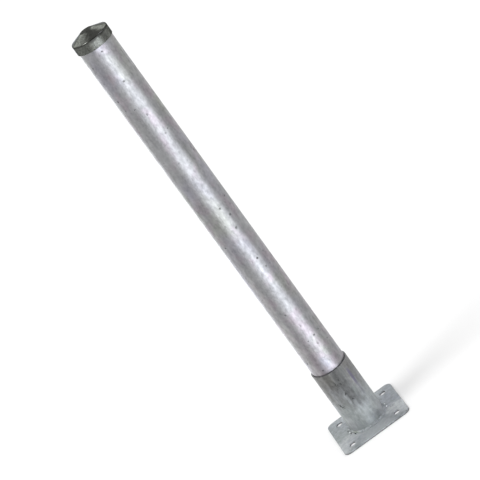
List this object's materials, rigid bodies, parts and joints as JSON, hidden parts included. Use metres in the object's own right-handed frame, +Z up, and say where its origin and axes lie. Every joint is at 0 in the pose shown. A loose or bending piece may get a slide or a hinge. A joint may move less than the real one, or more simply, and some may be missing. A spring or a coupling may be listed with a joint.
{
  "type": "galvanised steel pole with base socket and cap",
  "caption": "Round galvanised steel pole standing in the welded socket of a square bolt-down base plate, closed at the top by a conical steel cap.",
  "frame": {"origin": "centre of the base plate's underside, on the pole's axis", "axes": "+Z up along the pole, X and Y along the sides of the base plate, the drain notches on the +X and -X sides of the socket"},
  "size_m": [0.16, 0.16, 1.016],
  "materials": {
    "base_zinc": "hot-dip galvanised, matt and mottled",
    "weld_zinc": "zinc-covered weld bead, rough",
    "pole_zinc": "hot-dip galvanised, pale and satin",
    "cap_zinc": "dark mottled zinc, half glossy"
  },
  "bodies": {
    "root": {"base_plate": "base_zinc", "socket_tube": "base_zinc", "weld_front": "weld_zinc", "weld_back": "weld_zinc", "pole_tube": "pole_zinc", "pole_cap": "cap_zinc"}
  },
  "joints": []
}
